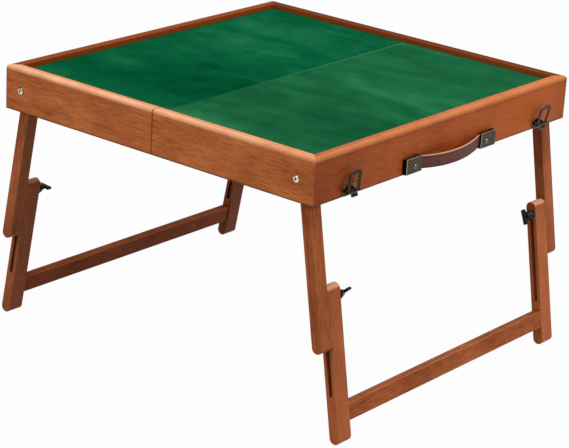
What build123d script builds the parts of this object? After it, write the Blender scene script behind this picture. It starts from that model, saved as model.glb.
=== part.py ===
from build123d import *
import math
import os

os.makedirs("parts", exist_ok=True)

# Millimetres. X runs across the two halves towards the handle, Y along the joint
# between them, Z up from the floor. The part stands open on its extended legs.

# Case
half_length = 335.0
case_width = 700.0
case_height = 77.0
rail_thickness = 15.0
rim_width = 20.0
rim_round = 6.0
rim_inner_round = 1.5
edge_round = 1.0
joint_chamfer = 0.8
joint_gap = 0.4

# Playing surface
felt_depth = 8.5
felt_thickness = 1.5
panel_thickness = 6.0
groove_depth = 5.0
panel_clearance = 0.2
felt_clearance = 0.2

# Middle rails
mid_rail_thickness = 12.0
leg_lane_clearance = 4.0
lane_roof_clearance = 2.5

# Leg frames
pivot_from_end = 35.0
pivot_above_bottom = 37.5
splay = 9.9
slat_width = 20.0
slat_round = 1.2
upper_gap = 0.6
upper_thickness = 25.5
slide_gap = 0.3
lower_thickness = 31.5
upper_reach = 275.0
clamp_reach = 203.0
lower_lead = 12.0
foot_reach = 432.0
slide_travel = 159.0
slot_width = 7.0
slot_end_clearance = 0.4
stretcher_top = 379.0
stretcher_height = 30.0
stretcher_setback = 0.5
stretcher_thickness = 16.5
stretcher_round = 2.0
tenon_height = 20.0
tenon_thickness = 8.0
tenon_length = 14.0

# Leg stops
stop_height = 22.0
stop_clearance = 0.3
stop_bottom_setback = 1.5

# Pivot bolts
bolt_radius = 3.0
running_clearance = 0.05
fit_clearance = 0.05
bolt_head_radius = 6.3
bolt_head_height = 2.6
bolt_head_edge = 0.9
socket_size = 4.0
socket_depth = 1.8
washer_radius = 7.0
washer_thickness = 0.4
nut_size = 10.0
nut_height = 5.0
nut_chamfer = 0.8
nut_gap = 0.3
bolt_end_margin = 0.6

# Wing screws
insert_radius = 4.5
insert_length = 18.0
stud_engagement = 15.0
stud_into_knob = 12.0
clamp_washer_radius = 8.5
clamp_washer_thickness = 1.0
clamp_gap = 0.1
collar_radius = 6.0
collar_length = 3.0
hub_radius = 9.0
hub_tip_radius = 5.2
hub_length = 16.5
hub_round = 1.0
wing_length = 27.0
wing_thickness = 5.0
wing_depth = 10.0
wing_overlap = 1.5
wing_round = 2.0
right_front_turn = 58.0
right_back_turn = -10.0
left_front_turn = 95.0
left_back_turn = 25.0

# Hinges
hinge_offset = 150.0
hinge_length = 50.0
hinge_knuckles = 5
knuckle_radius = 3.0
knuckle_clearance = 0.2
hinge_pin_radius = 1.25
leaf_thickness = 1.5
leaf_end_setback = 0.4
leaf_screw_inset = 4.2
leaf_screw_radius = 1.5
leaf_screw_head = 2.9
leaf_screw_length = 10.0
leaf_screw_pitch = 18.0
leaf_screws = 3

# Handle
handle_span = 208.0
plate_width = 41.0
plate_height = 26.5
plate_depth = 9.0
plate_wall = 1.6
plate_bottom = 2.0
plate_round = 1.0
strap_height = 22.5
strap_thickness = 4.0
strap_seat = 0.3
strap_bow = 13.0
strap_sag = 4.0
strap_side_clearance = 0.3
strap_end_clearance = 0.6
rivet_radius = 2.0
rivet_head_radius = 4.0
rivet_head_height = 1.6
rivet_above_bottom = 12.5
rivet_shift = 4.0
rivet_bite = 12.0

# Latches
latch_from_corner = 85.7
latch_base_width = 29.0
latch_base_bottom = 0.5
latch_base_height = 17.0
latch_sheet = 1.2
latch_corner = 1.5
ear_radius = 3.6
ear_inner = 8.1
latch_pin_out = 4.4
latch_pin_up = 9.6
latch_pin_radius = 1.1
lever_half_width = 7.8
lever_knuckle = 3.2
lever_nose = 2.8
loop_pin_out = 10.0
lip_length = 9.0
lip_thickness = 1.6
lip_drop = 65.0
loop_eye = 2.4
loop_thickness = 1.8
loop_length = 35.0
loop_half_width = 15.5
loop_band = 7.0
loop_bar = 5.7
loop_corner = 9.0
window_corner = 2.0
trunnion_radius = 1.1
trunnion_length = 5.7
front_loop_lean = 5.0
back_loop_lean = 12.0
latch_screw_head = 1.9
latch_screw_head_height = 0.9
latch_screw_radius = 1.0
latch_screw_bite = 9.0
latch_screw_inset = 2.4

# Catches
catch_width = 18.0
catch_bottom = 6.0
catch_sheet = 1.5
catch_shelf = 20.5
catch_hook_out = 8.6
catch_hook_top = 28.0
catch_screw_heights = (9.0, 16.0)
catch_round = 0.5

# Shared
overrun = 2.0
dome_angle = 45.0

# Places worked out from the sizes above
half_width = case_width / 2
pivot_height = foot_reach * math.cos(math.radians(splay)) + slat_width / 2
case_bottom = pivot_height - pivot_above_bottom
case_top = case_bottom + case_height
felt_top = case_top - felt_depth
panel_top = felt_top - felt_thickness
panel_bottom = panel_top - panel_thickness
inner_half_width = half_width - rail_thickness
inner_length = half_length - rail_thickness
mid_face = joint_gap / 2
pivot_x = half_length - pivot_from_end
upper_outer = inner_half_width - upper_gap
upper_inner = upper_outer - upper_thickness
lower_outer = upper_inner - slide_gap
lower_inner = lower_outer - lower_thickness
slat_radius = slat_width / 2
slot_radius = slot_width / 2
bore_radius = bolt_radius + running_clearance
latch_offset = half_width - latch_from_corner
rivet_offset = handle_span / 2 - rivet_shift
lower_start = clamp_reach - lower_lead
strap_reach = strap_seat + strap_thickness + strap_bow
latch_z = case_bottom + latch_pin_up
dome_radius_share = math.cos(math.radians(dome_angle))
dome_height_share = math.sin(math.radians(dome_angle))
FRONT = -1
BACK = 1


def box(x0, x1, y0, y1, z0, z1):
    """A block between two corners."""
    centre = Pos((x0 + x1) / 2, (y0 + y1) / 2, (z0 + z1) / 2)
    return centre * Box(abs(x1 - x0), abs(y1 - y0), abs(z1 - z0))


def rod(radius, x, z, y0, y1):
    """A round bar along Y from y0 to y1."""
    low = min(y0, y1)
    bar = Cylinder(radius, abs(y1 - y0), align=(Align.CENTER, Align.CENTER, Align.MIN))
    return Pos(x, low, z) * Rot(-90, 0, 0) * bar


def bar_out(radius, y, z, x0, x1):
    """A round bar along X from x0 to x1."""
    low = min(x0, x1)
    bar = Cylinder(radius, abs(x1 - x0), align=(Align.CENTER, Align.CENTER, Align.MIN))
    return Pos(low, y, z) * Rot(0, 90, 0) * bar


def turned(points, direction, at):
    """A solid of revolution from (radius, distance) points, along a direction."""
    outline = make_face(Polyline([*points, points[0]]))
    solid = revolve(outline, Axis.Y)
    return Plane(origin=at, x_dir=side_of(direction), z_dir=direction) * Rot(90, 0, 0) * solid


def side_of(direction):
    """Any direction square to the given one."""
    return (1, 0, 0) if direction[0] == 0 else (0, 1, 0)


def across(face_xz, y0, y1):
    """Extrude an outline drawn in X and Z from y0 to y1."""
    low = min(y0, y1)
    return Pos(0, low, 0) * extrude(Plane.XZ * face_xz, amount=-abs(y1 - y0))


def mirrored(shape, side):
    """The front copy as drawn, or the back copy mirrored in Y."""
    return shape if side == FRONT else mirror(shape, about=Plane.XZ)


def write(name, shapes):
    """Write the pieces of one node."""
    solids = [solid for shape in shapes for solid in shape.solids()]
    node = solids[0] if len(solids) == 1 else Compound(solids)
    export_step(node, "parts/" + name + ".step")


def halves(name, shapes):
    """Write the pieces of the right half and their mirror image on the left."""
    write("right_" + name, shapes)
    write("left_" + name, [mirror(shape, about=Plane.YZ) for shape in shapes])


# Case rails
def rail_section():
    """Rail outline: first value inwards from the outer face, second up from the bottom."""
    groove_floor = rail_thickness - groove_depth
    groove_bottom = panel_bottom - fit_clearance - case_bottom
    groove_top = panel_top + fit_clearance - case_bottom
    outline = make_face(Polyline([
        (0, 0),
        (rail_thickness, 0),
        (rail_thickness, groove_bottom),
        (groove_floor, groove_bottom),
        (groove_floor, groove_top),
        (rim_width, groove_top),
        (rim_width, case_height),
        (0, case_height),
        (0, 0),
    ]))
    top_outer = outline.vertices().sort_by(Axis.Y)[-2:].sort_by(Axis.X)[0]
    outline = fillet(top_outer, rim_round)
    top_inner = outline.vertices().sort_by(Axis.Y)[-2:].sort_by(Axis.X)[-1]
    outline = fillet(top_inner, rim_inner_round)
    return fillet(outline.vertices().sort_by(Axis.Y)[:2], edge_round)


def plan(points):
    """A prism through the whole case height over an outline in plan."""
    face = make_face(Polyline([*points, points[0]]))
    return Pos(0, 0, case_bottom - overrun) * extrude(face, amount=case_height + 2 * overrun)


def side_rail():
    """The front side rail of the right half, mitred at the outer corner."""
    start = Plane(origin=(mid_face, -half_width, case_bottom), x_dir=(0, 1, 0), z_dir=(1, 0, 0))
    stick = extrude(start * rail_section(), amount=half_length - mid_face)
    outline = plan([
        (0, -half_width),
        (half_length, -half_width),
        (half_length - rim_width, rim_width - half_width),
        (0, rim_width - half_width),
    ])
    bore = rod(bolt_radius + fit_clearance, pivot_x, pivot_height, -half_width, -inner_half_width)
    rail = (stick & outline) - bore
    end = rail.faces().sort_by(Axis.X)[0]
    outer = end.edges().filter_by_position(Axis.Y, -half_width, -half_width)
    return chamfer(outer, joint_chamfer)


def end_rail(with_latches):
    """The end rail of the right half, mitred at both ends."""
    start = Plane(origin=(half_length, -half_width, case_bottom), x_dir=(-1, 0, 0), z_dir=(0, 1, 0))
    stick = extrude(start * rail_section(), amount=case_width)
    outline = plan([
        (half_length - rim_width, rim_width - half_width),
        (half_length, -half_width),
        (half_length, half_width),
        (half_length - rim_width, half_width - rim_width),
    ])
    rail = stick & outline
    for y, z, radius, bite in end_holes(with_latches):
        rail -= bar_out(radius + fit_clearance, y, z, half_length - bite, half_length)
    return rail


def end_holes(with_latches):
    """Screw and rivet holes in an end rail: Y, Z, radius and depth."""
    holes = []
    for side in (FRONT, BACK):
        if with_latches:
            for y, z in latch_screw_places(side):
                holes.append((y, z, latch_screw_radius, latch_screw_bite))
            rivet_z = case_bottom + rivet_above_bottom
            holes.append((side * rivet_offset, rivet_z, rivet_radius, rivet_bite))
        else:
            for y, z in catch_screw_places(side):
                holes.append((y, z, latch_screw_radius, latch_screw_bite))
    return holes


def mid_rail():
    """The rail under the panel's inner edge, cut away at both ends for the legs."""
    lane = lower_inner - leg_lane_clearance
    roof = pivot_height + slat_radius + lane_roof_clearance
    outline = make_face(Polyline([
        (-inner_half_width, panel_bottom),
        (-inner_half_width, roof),
        (-lane, roof),
        (-lane, case_bottom),
        (lane, case_bottom),
        (lane, roof),
        (inner_half_width, roof),
        (inner_half_width, panel_bottom),
        (-inner_half_width, panel_bottom),
    ]))
    rail = Pos(mid_face, 0, 0) * extrude(Plane.YZ * outline, amount=mid_rail_thickness)
    for side in (FRONT, BACK):
        y0 = side * hinge_offset - hinge_length / 2
        y1 = side * hinge_offset + hinge_length / 2
        seat = knuckle_radius + knuckle_clearance
        rail -= rod(seat, 0, case_bottom, y0 - knuckle_clearance, y1 + knuckle_clearance)
        rail -= box(0, mid_rail_thickness + overrun, y0, y1, case_bottom, case_bottom + leaf_thickness)
        for x, y in leaf_screw_places(side):
            rail -= screw_hole(x, y)
    return rail


# Panel and felt
def panel():
    """One half of the top panel, held in the rails' grooves and on the middle rail."""
    edge = groove_depth - panel_clearance
    side = inner_half_width + edge
    return box(mid_face, inner_length + edge, -side, side, panel_bottom, panel_top)


def felt():
    """One half of the cloth glued to the panel, up to the lips of the rails."""
    side = half_width - rim_width - felt_clearance
    outer = half_length - rim_width - felt_clearance
    return box(mid_face, outer, -side, side, panel_top, felt_top)


# Hinges between the halves
def leaf_screw_places(side):
    """Places of one leaf's screws in X and Y."""
    x = mid_face + mid_rail_thickness - leaf_screw_inset
    middle = (leaf_screws - 1) / 2
    return [(x, side * hinge_offset + (n - middle) * leaf_screw_pitch) for n in range(leaf_screws)]


def screw_hole(x, y):
    """The bore that one leaf screw fills."""
    depth = leaf_screw_length + fit_clearance
    bore = Cylinder(leaf_screw_radius + fit_clearance, depth, align=(Align.CENTER, Align.CENTER, Align.MIN))
    return Pos(x, y, case_bottom) * bore


def leaf_screw(x, y, grow=0):
    """A countersunk screw driven up into the middle rail."""
    head = leaf_screw_head + grow
    shank = leaf_screw_radius + grow
    points = [
        (0, 0),
        (head, 0),
        (shank, leaf_thickness),
        (shank, leaf_screw_length),
        (0, leaf_screw_length),
    ]
    return turned(points, (0, 0, 1), (x, y, case_bottom))


def hinge_leaf(side, own):
    """A leaf with every second knuckle, starting with the one numbered own."""
    pitch = hinge_length / hinge_knuckles
    start = side * hinge_offset - hinge_length / 2
    outer = mid_face + mid_rail_thickness - leaf_end_setback
    leaf = box(0, outer, start, start + hinge_length, case_bottom, case_bottom + leaf_thickness)
    for n in range(hinge_knuckles):
        y0 = start + n * pitch
        y1 = y0 + pitch
        if n % 2 == own:
            leaf += rod(knuckle_radius, 0, case_bottom, y0 + knuckle_clearance / 2, y1 - knuckle_clearance / 2)
        else:
            seat = knuckle_radius + knuckle_clearance
            leaf -= rod(seat, 0, case_bottom, y0 - knuckle_clearance / 2, y1 + knuckle_clearance / 2)
    leaf -= rod(hinge_pin_radius + running_clearance, 0, case_bottom, start, start + hinge_length)
    for x, y in leaf_screw_places(side):
        leaf -= leaf_screw(x, y, fit_clearance)
    return leaf


def hinge_pin(side):
    """The pin through one hinge's knuckles."""
    start = side * hinge_offset - hinge_length / 2
    return rod(hinge_pin_radius, 0, case_bottom, start, start + hinge_length)


# Leg frames, drawn hanging straight down from a pivot at the origin
def slat(start, end, width):
    """A bar outline with half-round ends, between two reaches down from the pivot."""
    middle = -(start + end) / 2
    return Pos(0, middle) * SlotCenterToCenter(end - start, width, rotation=90)


def splayed(shape):
    """Hang a leg piece from its pivot in the right half at the splay angle."""
    return Pos(pivot_x, 0, pivot_height) * Rot(0, -splay, 0) * shape


def upper_leg(side):
    """A leg that turns on its pivot bolt beside the side rail."""
    leg = across(slat(0, upper_reach, slat_width), -upper_outer, -upper_inner)
    leg = fillet(leg.edges().filter_by(Axis.Y, reverse=True), slat_round)
    leg -= rod(bore_radius, 0, 0, -upper_outer, -upper_inner)
    insert_outer = upper_inner + insert_length
    leg -= rod(insert_radius + fit_clearance, 0, -clamp_reach, -insert_outer, -upper_inner)
    return splayed(mirrored(leg, side))


def lower_leg(side):
    """A leg that slides on the upper one, with the clamp screw in its slot."""
    leg = across(slat(lower_start, foot_reach, slat_width), -lower_outer, -lower_inner)
    leg = fillet(leg.edges().filter_by(Axis.Y, reverse=True), slat_round)
    slot_start = clamp_reach + slot_radius - bolt_radius - slot_end_clearance
    slot_end = clamp_reach + slide_travel - slot_radius + bolt_radius + slot_end_clearance
    leg -= across(slat(slot_start, slot_end, slot_width), -lower_outer, -lower_inner)
    leg -= tenon(-lower_inner, -lower_inner - tenon_length)
    return splayed(mirrored(leg, side))


def tenon(y0, y1):
    """The stretcher's tenon between two places in Y."""
    x = slat_radius - stretcher_setback - stretcher_thickness / 2
    z = -stretcher_top - stretcher_height / 2
    half_thickness = tenon_thickness / 2
    half_height = tenon_height / 2
    return box(x - half_thickness, x + half_thickness, y0, y1, z - half_height, z + half_height)


def stretcher():
    """The rail that joins a pair of lower legs, tenoned into both."""
    outer = slat_radius - stretcher_setback
    inner = outer - stretcher_thickness
    bottom = -stretcher_top - stretcher_height
    rail = box(inner, outer, -lower_inner, lower_inner, bottom, -stretcher_top)
    rail = fillet(rail.edges().filter_by(Axis.Y), stretcher_round)
    tongue = lower_inner + tenon_length - fit_clearance
    rail += tenon(-tongue, tongue)
    return splayed(rail)


def leg_stop(side):
    """A wedge glued inside the end rail that the splayed leg rests on."""
    angle = math.radians(splay)
    top_drop = pivot_above_bottom - stop_bottom_setback - stop_height
    bottom_drop = pivot_above_bottom - stop_bottom_setback
    out = (slat_radius + stop_clearance) / math.cos(angle)
    back = inner_length - pivot_x
    outline = make_face(Polyline([
        (back, -top_drop),
        (out + top_drop * math.tan(angle), -top_drop),
        (out + bottom_drop * math.tan(angle), -bottom_drop),
        (back, -bottom_drop),
        (back, -top_drop),
    ]))
    wedge = Pos(pivot_x, 0, pivot_height) * across(outline, -upper_outer, -upper_inner)
    return mirrored(wedge, side)


# Pivot bolts
def pivot_bolt(side):
    """A domed bolt with a hexagon socket, through the side rail and the leg."""
    end = half_width - upper_inner + nut_gap + nut_height - bolt_end_margin
    points = [
        (0, -bolt_head_height),
        (bolt_head_radius / 2, -bolt_head_height),
        (bolt_head_radius - bolt_head_edge, -bolt_head_height + bolt_head_edge),
        (bolt_head_radius, -bolt_head_edge),
        (bolt_head_radius, 0),
        (bolt_radius, 0),
        (bolt_radius, end),
        (0, end),
    ]
    bolt = turned(points, (0, 1, 0), (pivot_x, -half_width, pivot_height))
    socket = extrude(RegularPolygon(socket_size / 2, 6, major_radius=False), amount=socket_depth)
    at = Plane(
        origin=(pivot_x, -half_width - bolt_head_height, pivot_height),
        x_dir=(1, 0, 0),
        z_dir=(0, 1, 0),
    )
    return mirrored(bolt - at * socket, side)


def pivot_washer(side):
    """The washer that keeps the leg off the side rail."""
    spare = (upper_gap - washer_thickness) / 2
    y0 = -inner_half_width + spare
    ring = rod(washer_radius, pivot_x, pivot_height, y0, y0 + washer_thickness)
    ring -= rod(bore_radius, pivot_x, pivot_height, y0, y0 + washer_thickness)
    return mirrored(ring, side)


def pivot_nut(side):
    """The hexagon nut on the bolt's inner end."""
    prism = extrude(RegularPolygon(nut_size / 2, 6, major_radius=False), amount=nut_height)
    prism = chamfer(prism.faces().sort_by(Axis.Z)[-1].edges(), nut_chamfer)
    at = Plane(
        origin=(pivot_x, -upper_inner + nut_gap, pivot_height),
        x_dir=(1, 0, 0),
        z_dir=(0, 1, 0),
    )
    end = -upper_inner + nut_gap + nut_height
    nut = at * prism - rod(bolt_radius + fit_clearance, pivot_x, pivot_height, -upper_inner, end)
    return mirrored(nut, side)


# Clamp screws
def insert(side):
    """The threaded bush in the upper leg that the clamp screw turns in."""
    y1 = -upper_inner
    y0 = y1 - insert_length
    bush = rod(insert_radius, 0, -clamp_reach, y0, y1)
    bush -= rod(bore_radius, 0, -clamp_reach, y0, y1)
    return splayed(mirrored(bush, side))


def clamp_washer(side):
    """The washer under the wing knob, against the lower leg."""
    y0 = -lower_inner + clamp_gap
    ring = rod(clamp_washer_radius, 0, -clamp_reach, y0, y0 + clamp_washer_thickness)
    ring -= rod(bore_radius, 0, -clamp_reach, y0, y0 + clamp_washer_thickness)
    return splayed(mirrored(ring, side))


def knob_face():
    """How far the knob's clamping face lies from the middle, front side."""
    return -lower_inner + clamp_gap + clamp_washer_thickness + clamp_gap


def wing_stud(side):
    """The screw moulded into the knob, through the slot into the bush."""
    y0 = -upper_inner - stud_engagement
    return splayed(mirrored(rod(bolt_radius, 0, -clamp_reach, y0, knob_face() + stud_into_knob), side))


def wing_knob(side, turn):
    """A moulded hub with two wings across its outer end, turned about its screw."""
    hub = turned([
        (0, 0),
        (collar_radius, 0),
        (collar_radius, collar_length),
        (hub_radius - hub_round, collar_length),
        (hub_radius, collar_length + hub_round),
        (hub_tip_radius, hub_length - hub_round),
        (hub_tip_radius - hub_round, hub_length),
        (0, hub_length),
    ], (0, 1, 0), (0, 0, 0))
    wing_start = hub_length - wing_overlap
    wing = box(
        -wing_thickness / 2,
        wing_thickness / 2,
        wing_start,
        wing_start + wing_depth,
        -wing_length / 2,
        wing_length / 2,
    )
    wing = fillet(wing.edges(), wing_round)
    knob = hub + wing
    knob -= rod(bolt_radius + fit_clearance, 0, 0, 0, stud_into_knob + fit_clearance)
    knob = Pos(0, knob_face(), -clamp_reach) * Rot(0, turn, 0) * knob
    return splayed(mirrored(knob, side))


# Handle
def bowed_line(run, rise, level, tail):
    """One arc between two straight tails, from left to right."""
    arc = ThreePointArc((-run, level), (0, level + rise), (run, level))
    return Line((-run - tail, level), (-run, level)) + arc + Line((run, level), (run + tail, level))


def bowed_face(run, rise, low, high, tail):
    """The band between two bowed lines one above the other."""
    lines = [bowed_line(run, rise, level, tail) for level in (low, high)]
    ends = [Line((at, low), (at, high)) for at in (-run - tail, run + tail)]
    return make_face([edge for line in [*lines, *ends] for edge in line.edges()])


def strap():
    """The leather strap, bowed away from the end rail and sagging between its plates."""
    run = (handle_span - plate_width) / 2
    tail = plate_width - plate_wall - strap_end_clearance
    seen_above = bowed_face(run, strap_bow, strap_seat, strap_seat + strap_thickness, tail)
    low = plate_bottom + (plate_height - strap_height) / 2
    seen_ahead = bowed_face(run, -strap_sag, low, low + strap_height, tail)
    under = case_bottom - 2 * strap_height
    above = Plane(origin=(half_length, 0, under), x_dir=(0, 1, 0), z_dir=(0, 0, -1))
    band = extrude(above * seen_above, amount=-4 * strap_height)
    ahead = Plane(origin=(half_length - overrun, 0, case_bottom), x_dir=(0, 1, 0), z_dir=(1, 0, 0))
    leather = band & extrude(ahead * seen_ahead, amount=strap_reach + 2 * overrun)
    for side in (FRONT, BACK):
        leather -= rivet_bore(side, rivet_radius + fit_clearance)
    return leather


def rivet_bore(side, radius):
    """A bar along one rivet's whole line."""
    z = case_bottom + rivet_above_bottom
    front = half_length + plate_depth + overrun
    return bar_out(radius, side * rivet_offset, z, half_length - rivet_bite, front)


def handle_plate(side):
    """A pressed plate boxed over the strap's end, open towards the strap."""
    middle = side * handle_span / 2
    y0 = middle - plate_width / 2
    y1 = middle + plate_width / 2
    z0 = case_bottom + plate_bottom
    z1 = z0 + plate_height
    front = half_length + plate_depth
    shell = box(half_length, front, y0, y1, z0, z1)
    outer_edges = shell.edges().filter_by_position(Axis.X, front, front)
    shell = fillet(outer_edges, plate_round)
    deep = front - plate_wall
    side_wall = plate_wall - strap_side_clearance
    inner_y = middle - side * (plate_width / 2 + overrun)
    outer_y = middle + side * (plate_width / 2 - side_wall)
    hollow = box(half_length, deep, inner_y, outer_y, z0 + side_wall, z1 - side_wall)
    return shell - hollow - rivet_bore(side, rivet_radius + fit_clearance)


def plate_pad(side):
    """The packing that holds the strap against the plate's inner face."""
    middle = side * handle_span / 2
    half_pad = strap_height / 2 - strap_side_clearance
    z = case_bottom + plate_bottom + plate_height / 2
    x0 = half_length + strap_seat + strap_thickness
    x1 = half_length + plate_depth - plate_wall
    pad = box(x0, x1, middle - half_pad, middle + half_pad, z - half_pad, z + half_pad)
    return pad - rivet_bore(side, rivet_radius + fit_clearance)


def rivet(side):
    """A domed rivet through the plate and the strap into the end rail."""
    points = [
        (0, -rivet_bite - plate_depth),
        (rivet_radius, -rivet_bite - plate_depth),
        (rivet_radius, 0),
        (rivet_head_radius, 0),
        (rivet_head_radius * dome_radius_share, rivet_head_height * dome_height_share),
        (0, rivet_head_height),
    ]
    at = (half_length + plate_depth, side * rivet_offset, case_bottom + rivet_above_bottom)
    return turned(points, (1, 0, 0), at)


# Latches, drawn with X out from the end rail's face
def latch_screw_places(side):
    """Places of one latch base's screws in Y and Z."""
    z = case_bottom + latch_base_bottom + latch_base_height - latch_screw_inset
    inset = latch_base_width / 2 - latch_screw_inset
    return [(side * latch_offset + sign * inset, z) for sign in (-1, 1)]


def latch_base(side):
    """A plate with two ears that carry the lever's pin."""
    middle = side * latch_offset
    half = latch_base_width / 2
    z0 = case_bottom + latch_base_bottom
    z1 = z0 + latch_base_height
    face = half_length + latch_sheet
    base = box(half_length, face, middle - half, middle + half, z0, z1)
    base = fillet(base.edges().filter_by(Axis.X), latch_corner)
    pin_x = half_length + latch_pin_out
    for sign in (-1, 1):
        y0 = middle + sign * ear_inner
        y1 = y0 + sign * latch_sheet
        ear = rod(ear_radius, pin_x, latch_z, y0, y1)
        ear += box(half_length, pin_x, y0, y1, latch_z - ear_radius, latch_z + ear_radius)
        base += ear
        base -= rod(latch_pin_radius + fit_clearance, pin_x, latch_z, y0, y1)
    for y, z in latch_screw_places(side):
        base -= bar_out(latch_screw_radius + fit_clearance, y, z, half_length, face)
    return base


def latch_pin(side):
    """The pin that joins the ears through the lever."""
    half = ear_inner + latch_sheet
    middle = side * latch_offset
    return rod(latch_pin_radius, half_length + latch_pin_out, latch_z, middle - half, middle + half)


def latch_lever(side):
    """The cam lever: a knuckle on the base's pin, a nose for the loop and a finger lip."""
    middle = side * latch_offset
    y0 = middle - lever_half_width
    y1 = middle + lever_half_width
    pin_x = half_length + latch_pin_out
    loop_x = half_length + loop_pin_out
    lever = rod(lever_knuckle, pin_x, latch_z, y0, y1)
    lever += rod(lever_nose, loop_x, latch_z, y0, y1)
    lever += box(pin_x, loop_x, y0, y1, latch_z - lever_nose, latch_z + lever_nose)
    lip = box(0, lip_length, y0, y1, -lip_thickness / 2, lip_thickness / 2)
    lip = fillet(lip.edges().filter_by(Axis.Y).sort_by(Axis.X)[-2:], lip_thickness / 3)
    lever += Pos(loop_x, 0, latch_z) * Rot(0, lip_drop, 0) * lip
    lever -= rod(latch_pin_radius + running_clearance, pin_x, latch_z, y0, y1)
    lever -= rod(trunnion_radius + running_clearance, loop_x, latch_z, y0, y1)
    return lever


def latch_loop(side, lean):
    """The stamped loop that reaches for the catch, with stubs that turn in the lever."""
    inner = loop_half_width - loop_bar
    band_bottom = loop_length - loop_band
    outline = make_face(Polyline([
        (-loop_half_width, 0),
        (-loop_half_width, loop_length),
        (loop_half_width, loop_length),
        (loop_half_width, 0),
        (-loop_half_width, 0),
    ]))
    outline = fillet(outline.vertices().sort_by(Axis.Y)[-2:], loop_corner)
    window = make_face(Polyline([
        (-inner, -overrun),
        (-inner, band_bottom),
        (inner, band_bottom),
        (inner, -overrun),
        (-inner, -overrun),
    ]))
    outline -= fillet(window.vertices().sort_by(Axis.Y)[-2:], window_corner)
    loop = Pos(-loop_thickness / 2, 0, 0) * extrude(Plane.YZ * outline, amount=loop_thickness)
    for sign in (-1, 1):
        loop += rod(loop_eye, 0, 0, sign * inner, sign * loop_half_width)
        loop += rod(trunnion_radius, 0, 0, sign * (inner - trunnion_length), sign * loop_half_width)
    return Pos(half_length + loop_pin_out, side * latch_offset, latch_z) * Rot(0, lean, 0) * loop


def small_screw(y, z, sheet):
    """A small domed screw driven into the end rail through a sheet."""
    points = [
        (0, -latch_screw_bite - sheet),
        (latch_screw_radius, -latch_screw_bite - sheet),
        (latch_screw_radius, 0),
        (latch_screw_head, 0),
        (latch_screw_head * dome_radius_share, latch_screw_head_height * dome_height_share),
        (0, latch_screw_head_height),
    ]
    return turned(points, (1, 0, 0), (half_length + sheet, y, z))


# Catches on the other end
def catch_screw_places(side):
    """Places of one catch's screws in Y and Z."""
    return [(side * latch_offset, case_bottom + height) for height in catch_screw_heights]


def catch(side):
    """A plate with a hook whose mouth faces away from the closing seam."""
    y0 = side * latch_offset - catch_width / 2
    y1 = side * latch_offset + catch_width / 2
    shelf_top = catch_shelf + catch_sheet
    hook_in = catch_hook_out - catch_sheet
    outline = make_face(Polyline([
        (0, catch_bottom),
        (catch_sheet, catch_bottom),
        (catch_sheet, catch_shelf),
        (catch_hook_out, catch_shelf),
        (catch_hook_out, catch_hook_top),
        (hook_in, catch_hook_top),
        (hook_in, shelf_top),
        (0, shelf_top),
        (0, catch_bottom),
    ]))
    outline = fillet(outline.vertices(), catch_round)
    hook = Pos(half_length, 0, case_bottom) * across(outline, y0, y1)
    for y, z in catch_screw_places(side):
        hook -= bar_out(latch_screw_radius + fit_clearance, y, z, half_length, half_length + catch_sheet)
    return hook


SIDES = (FRONT, BACK)
SIDE_NAMES = {FRONT: "front", BACK: "back"}

# Case
front_side_rail = side_rail()
halves("front_rail", [front_side_rail])
halves("back_rail", [mirrored(front_side_rail, BACK)])
write("right_end_rail", [end_rail(True)])
write("left_end_rail", [mirror(end_rail(False), about=Plane.YZ)])
halves("mid_rail", [mid_rail()])
halves("panel", [panel()])
halves("felt", [felt()])

# Hinges
write("hinge_leaves_right", [hinge_leaf(side, 0) for side in SIDES])
write("hinge_leaves_left", [mirror(hinge_leaf(side, 1), about=Plane.YZ) for side in SIDES])
write("hinge_pins", [hinge_pin(side) for side in SIDES])
leaf_screw_set = [leaf_screw(x, y) for side in SIDES for x, y in leaf_screw_places(side)]
write("hinge_screws_right", leaf_screw_set)
write("hinge_screws_left", [mirror(screw, about=Plane.YZ) for screw in leaf_screw_set])

# Legs
wing_turns = {
    FRONT: (right_front_turn, left_front_turn),
    BACK: (right_back_turn, left_back_turn),
}
for side in SIDES:
    halves("upper_leg_" + SIDE_NAMES[side], [upper_leg(side)])
    halves("lower_leg_" + SIDE_NAMES[side], [lower_leg(side)])
    right_turn, left_turn = wing_turns[side]
    left_knob = mirror(wing_knob(side, left_turn), about=Plane.YZ)
    write("right_wing_knob_" + SIDE_NAMES[side], [wing_knob(side, right_turn)])
    write("left_wing_knob_" + SIDE_NAMES[side], [left_knob])
    halves("wing_stud_" + SIDE_NAMES[side], [wing_stud(side)])
halves("stretcher", [stretcher()])
halves("leg_stops", [leg_stop(side) for side in SIDES])
halves("pivot_bolts", [pivot_bolt(side) for side in SIDES])
halves("pivot_washers", [pivot_washer(side) for side in SIDES])
halves("pivot_nuts", [pivot_nut(side) for side in SIDES])
halves("leg_bushes", [insert(side) for side in SIDES])
halves("clamp_washers", [clamp_washer(side) for side in SIDES])

# Handle
write("handle_plates", [handle_plate(side) for side in SIDES])
write("handle_pads", [plate_pad(side) for side in SIDES])
write("handle_rivets", [rivet(side) for side in SIDES])
write("handle_strap", [strap()])

# Latches and catches
write("latch_bases", [latch_base(side) for side in SIDES])
write("latch_pins", [latch_pin(side) for side in SIDES])
write("latch_screws", [small_screw(y, z, latch_sheet) for side in SIDES for y, z in latch_screw_places(side)])
write("latch_lever_front", [latch_lever(FRONT)])
write("latch_lever_back", [latch_lever(BACK)])
write("latch_loop_front", [latch_loop(FRONT, front_loop_lean)])
write("latch_loop_back", [latch_loop(BACK, back_loop_lean)])
write("catches", [mirror(catch(side), about=Plane.YZ) for side in SIDES])
catch_screw_set = [small_screw(y, z, catch_sheet) for side in SIDES for y, z in catch_screw_places(side)]
write("catch_screws", [mirror(screw, about=Plane.YZ) for screw in catch_screw_set])
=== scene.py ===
import math
from functools import cached_property

import bmesh
import bpy
from mathutils import Matrix, Vector


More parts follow.
